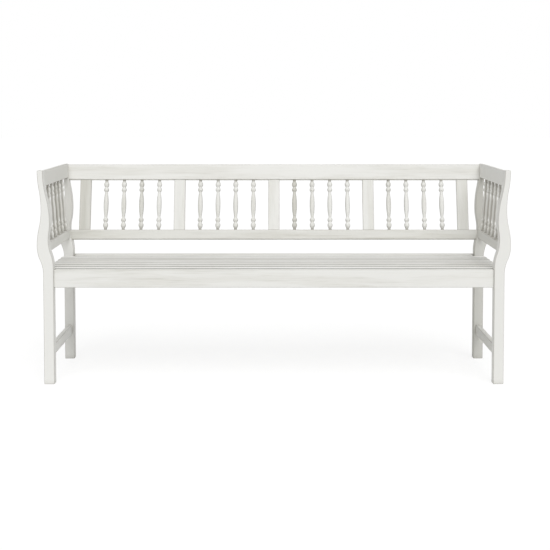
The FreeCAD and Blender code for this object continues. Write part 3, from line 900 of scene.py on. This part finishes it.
@dataclass
class Seat:
    """Seat frame between the posts, its bearers and slats, and the stretchers below."""

    posts: Posts
    edge_round: float = 0.0028
    end_round: float = 0.0010
    slat_round: float = 0.0040
    slats: int = 7
    bearers: int = 4

    def board(
        self, shop: Workshop, name: str, nodes: Sequence[str], slot: Slot, **values: object
    ) -> None:
        """Cut a row of like boards and hand them in as one piece.

        Args:
            shop: Where pieces are dressed and handed in.
            name: Name of the piece.
            nodes: Frame nodes that it stands for.
            slot: Slot of its finish.
            values: Inputs of the boards' tree, with their names in small letters.
        """
        sizes = {
            "Edge Round": self.edge_round, "End Round": self.end_round, "Groups": 1, "Count": 1,
            "Step": (0.0, 0.0, 0.0), "Seed": len(name), "Finish": shop.finishes[slot],
            **{key.replace("_", " ").title(): value for key, value in values.items()},
        }
        shop.hand_in(shop.boards.grow(name, sizes), slot, nodes)

    def build(self, shop: Workshop) -> None:
        """Build the seat and the stretchers.

        Args:
            shop: Where pieces are dressed and handed in.
        """
        self.build_long_rails(shop)
        self.build_cross_rails(shop)
        self.build_slats(shop)

    def build_long_rails(self, shop: Workshop) -> None:
        """Front and rear seat rails between the legs.

        Args:
            shop: Where pieces are dressed and handed in.
        """
        for name in ("front_seat_rail", "rear_seat_rail"):
            low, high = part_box(name)
            self.board(
                shop, name, [name], Slot.FRAME, length=2 * self.posts.inner, width=high.y - low.y,
                thickness=high.z - low.z, start=Vector((0, low.y + high.y, low.z + high.z)) / 2)

    def build_cross_rails(self, shop: Workshop) -> None:
        """Side rails, stretchers and bearers, which run from front to back.

        Args:
            shop: Where pieces are dressed and handed in.
        """
        leg_back = self.posts.leg_back
        rail_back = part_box("front_seat_rail")[1].y
        rear_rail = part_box("rear_seat_rail")[0].y
        for name, stems, near, far in (
            ("side_seat_rails", ["left_seat_rail", "right_seat_rail"], leg_back, self.posts.rear),
            ("stretchers", ["left_stretcher", "right_stretcher"], leg_back, self.posts.rear),
            ("seat_bearers", names("seat_bearer", self.bearers), rail_back, rear_rail),
        ):
            low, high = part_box(stems[0])
            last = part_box(stems[-1])[0].x
            self.board(
                shop, name, stems, Slot.FRAME, length=far - near, width=high.x - low.x,
                thickness=high.z - low.z, count=len(stems),
                start=Vector((low.x + high.x, near + far, low.z + high.z)) / 2,
                step=((last - low.x) / (len(stems) - 1), 0.0, 0.0),
                turn=Euler((0, 0, math.pi / 2)))

    def build_slats(self, shop: Workshop) -> None:
        """Long slats, and the last one that passes between the rear posts.

        Args:
            shop: Where pieces are dressed and handed in.
        """
        nodes = names("seat_slat", self.slats)
        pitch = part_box(nodes[1])[0].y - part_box(nodes[0])[0].y
        for name, stems in (("long_slats", nodes[:-1]), ("short_slat", nodes[-1:])):
            low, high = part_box(stems[0])
            # Their sides get painted shade, for the gaps between slats.
            self.board(
                shop, name, stems, Slot.SLATS, length=high.x - low.x, width=high.y - low.y,
                thickness=high.z - low.z, count=len(stems), start=(low + high) / 2,
                step=(0.0, pitch, 0.0), edge_round=self.slat_round, bare_sides=1.0)


@dataclass
class Back:
    """Leaning back: two rails, flat stiles and panels of turned spindles."""

    posts: Posts
    seat: Seat
    rail_thickness: float = 0.022
    lower_rise: float = 0.064
    lower_height: float = 0.0415
    top_height: float = 0.067
    gap: float = 0.218
    lower_shoulder: float = 0.8705
    top_shoulder: float = 0.8900
    stiles: int = 5
    stile_width: float = 0.048
    stile_thickness: float = 0.015
    end_stile: float = 0.810
    lower_seed: int = 12
    top_seed: int = 10
    stile_seed: int = 64
    panel_spindles: int = 4
    spindle_pitch: float = 0.076
    spindle_seed: int = 4
    widest: float = 0.0105

    def place(self, across: float, rise: float) -> Vector:
        """A point in the middle of the back's thickness.

        Args:
            across: Distance from the middle of the bench.
            rise: Distance along the lean, from where it starts.

        Returns:
            The point in the frame of the bench.
        """
        depth = self.posts.leg_depth * math.cos(self.posts.rake) / 2
        lean = Matrix.Rotation(-self.posts.rake, 3, "X")
        foot = Vector((0, self.posts.rear, self.posts.rake_base))
        return foot + lean @ Vector((across, depth, rise))

    def build(self, shop: Workshop) -> None:
        """Build the rails, the stiles and the spindles.

        Args:
            shop: Where pieces are dressed and handed in.
        """
        lean = Euler((-self.posts.rake, 0, 0))
        gap_base = self.lower_rise + self.lower_height
        for name, base, height, shoulder, seed in (
            ("back_lower_rail", self.lower_rise, self.lower_height, self.lower_shoulder, self.lower_seed),
            ("back_top_rail", gap_base + self.gap, self.top_height, self.top_shoulder, self.top_seed),
        ):
            self.seat.board(
                shop, name, [name], Slot.FRAME, length=2 * shoulder, width=self.rail_thickness,
                thickness=height, start=self.place(0, base + height / 2), turn=lean,
                seed=seed)

        pitch = 2 * self.end_stile / (self.stiles - 1)
        upright = Matrix.Rotation(-self.posts.rake, 3, "X") @ Matrix.Rotation(-math.pi / 2, 3, "Y")
        self.seat.board(
            shop, "back_stiles", names("back_stile", self.stiles), Slot.FRAME, length=self.gap,
            width=self.stile_thickness, thickness=self.stile_width, count=self.stiles,
            start=self.place(-self.end_stile, gap_base + self.gap / 2), step=(pitch, 0.0, 0.0),
            turn=upright.to_euler(), seed=self.stile_seed)

        panels = self.stiles - 1
        first = -self.end_stile + pitch / 2 - self.spindle_pitch * (self.panel_spindles - 1) / 2
        mesh = shop.spindles.grow("back_spindles", {
            "Length": self.gap, "Widest": self.widest, "Groups": panels, "Count": self.panel_spindles,
            "Start": self.place(first, gap_base), "Group Step": (pitch, 0.0, 0.0),
            "Step": (self.spindle_pitch, 0.0, 0.0), "Turn": lean, "Seed": self.spindle_seed,
            "Finish": shop.finishes[Slot.TURNED]})
        shop.hand_in(
            mesh, Slot.TURNED, names("back_spindle", panels * self.panel_spindles, "{}_{:02d}"))


@dataclass
class Arms:
    """Two arms that lean a little outwards: a rail above and below a row of spindles."""

    posts: Posts
    back: Back
    foot: float = 0.878
    base: float = 0.514
    lean: float = math.radians(3.8)
    lower_height: float = 0.037
    top_height: float = 0.060
    thickness: float = 0.018
    spindles: int = 5
    spindle_seed: int = 9
    clearance: float = 0.0002
    pitch: float = 0.030
    eased: Eased = Eased(edge=0.0028, end=0.0010, steps=3)

    def rear_face(self, height: float) -> float:
        """Front face of the leaning rear post, where an arm rail ends."""
        return self.posts.rear + (height - self.posts.rake_base) * math.tan(self.posts.rake)

    def tilt(self, end: End) -> Matrix:
        """Turn that leans an arm outwards."""
        return Matrix.Rotation(end.value * self.lean, 3, "Y")

    def build(self, shop: Workshop) -> None:
        """Build both arms.

        Args:
            shop: Where pieces are dressed and handed in.
        """
        top_base = self.lower_height + self.back.gap
        for end in End:
            side = end.name.lower()
            self.build_rail(shop, end, f"{side}_arm_lower_rail", 0.0, self.lower_height)
            self.build_rail(shop, end, f"{side}_arm_top_rail", top_base, self.top_height)
            self.build_spindles(shop, end, side)

    def build_rail(self, shop: Workshop, end: End, name: str, rise: float, height: float) -> None:
        """One rail, whose rear end follows the lean of the rear post.

        Args:
            shop: Where pieces are dressed and handed in.
            end: End of the bench.
            name: Name of the piece and of its node.
            rise: Lower edge, above the foot of the arm.
            height: Height of the rail.
        """
        near = self.posts.leg_back
        tilt = self.tilt(end)
        origin = Vector((end.value * self.foot, 0, self.base))
        half = self.thickness / 2
        longest = self.rear_face(self.base + rise + height / 2) - near - self.clearance
        rings = []
        for along, inset in stations(longest, self.pitch, self.eased):
            ring = []
            for p in self.eased.section((-half, half), (rise, rise + height), inset):
                far = self.rear_face(self.base + p.y) - self.clearance
                depth = near + (far - near) * along / longest
                ring.append(origin + tilt @ Vector((p.x, depth, p.y)))
            rings.append(ring)
        mesh = loft(name, rings)
        # The faces that look onto the spindles get painted shade; elsewhere the eased edges wear.
        shaded_side_sign = 1 if rise == 0.0 else -1
        edges = [
            abs(sine) if upper == shaded_side_sign else on_edge
            for _ in rings for _, upper, _, sine, on_edge in self.eased.corners()
        ]
        write_marks(mesh, shop.number(), edges, lambda place: Vector((place.y, place.z, place.x)))
        shop.hand_in(mesh, Slot.FRAME, [name])

    def build_spindles(self, shop: Workshop, end: End, side: str) -> None:
        """The row of spindles, centred between the posts.

        Args:
            shop: Where pieces are dressed and handed in.
            end: End of the bench.
            side: Word for that end in the names of its nodes.
        """
        name = f"{side}_arm_spindles"
        middle_height = self.base + self.lower_height + self.back.gap / 2
        middle = (self.posts.leg_back + self.rear_face(middle_height)) / 2
        first = middle - self.back.spindle_pitch * (self.spindles - 1) / 2
        rail_top = self.tilt(end) @ Vector((0, 0, self.lower_height))
        foot = Vector((end.value * self.foot, first, self.base)) + rail_top
        mesh = shop.spindles.grow(name, {
            "Length": self.back.gap, "Widest": self.back.widest, "Groups": 1, "Count": self.spindles,
            "Start": foot, "Step": (0.0, self.back.spindle_pitch, 0.0),
            "Turn": Euler((0, end.value * self.lean, 0)), "Seed": self.spindle_seed + end.value,
            "Finish": shop.finishes[Slot.TURNED]})
        shop.hand_in(mesh, Slot.TURNED, names(f"{side}_arm_spindle", self.spindles))


# Studio


@dataclass(frozen=True)
class Studio:
    """White sweep, broad soft light from the front and the photograph's view."""

    eye: tuple[float, float, float] = (0.0, -4.8708, 1.0984)
    pitch: float = math.radians(3.345)
    yaw: float = math.radians(0.052)
    lens: float = 77.95              # millimetres on a 36 mm sensor
    shift_up: float = -0.19
    floor_size: float = 60.0
    sky: float = 0.52
    key_height: float = math.radians(48)
    key_side: float = math.radians(10)
    key_softness: float = math.radians(50)
    key_strength: float = 1.57

    def build(self) -> None:
        """Set up the floor, the light, the background and the camera."""
        self.build_floor()
        self.build_light()
        self.build_sky()
        self.build_camera()

    def build_floor(self) -> None:
        """Floor under the bench."""
        half = self.floor_size / 2
        corners = [(-half, -half, 0), (half, -half, 0), (half, half, 0), (-half, half, 0)]
        mesh = bpy.data.meshes.new("floor")
        mesh.from_pydata(corners, [], [(0, 1, 2, 3)])
        mesh.materials.append(PaleFloor().material())
        floor = bpy.data.objects.new("floor", mesh)
        bpy.context.scene.collection.objects.link(floor)

    def build_light(self) -> None:
        """One broad soft light from above the camera."""
        lamp = bpy.data.lights.new("key", "SUN")
        lamp.energy = self.key_strength
        lamp.angle = self.key_softness
        key = bpy.data.objects.new("key", lamp)
        key.rotation_euler = (math.pi / 2 - self.key_height, 0, self.key_side)
        bpy.context.scene.collection.objects.link(key)

    def build_sky(self) -> None:
        """Even light all round, plain white where the background shows."""
        world = bpy.data.worlds.new("studio")
        world.use_nodes = True
        tree = Tree(world.node_tree)
        strength = seen_rays(tree) * (1.0 - self.sky) + self.sky
        shader = tree.node("ShaderNodeBackground", {}, {"Color": WHITE, "Strength": strength})
        tree.node("ShaderNodeOutputWorld", {}, {"Surface": shader})
        bpy.context.scene.world = world

    def build_camera(self) -> None:
        """Camera at the photograph's place."""
        lens = bpy.data.cameras.new("camera")
        lens.lens = self.lens
        lens.shift_y = self.shift_up
        camera = bpy.data.objects.new("camera", lens)
        camera.location = self.eye
        camera.rotation_euler = (math.pi / 2 - self.pitch, 0, -self.yaw)
        bpy.context.scene.collection.objects.link(camera)
        bpy.context.scene.camera = camera
        bpy.context.scene.view_settings.view_transform = "Standard"


def main() -> None:
    """Build the bench from its posts inwards, then the studio round it."""
    logging.basicConfig(level=logging.INFO, format="%(message)s")
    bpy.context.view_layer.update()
    shop = Workshop()
    posts = Posts()
    posts.build(shop)
    seat = Seat(posts)
    seat.build(shop)
    back = Back(posts, seat)
    back.build(shop)
    Arms(posts, back).build(shop)
    Studio().build()


if __name__ == "__main__":
    main()
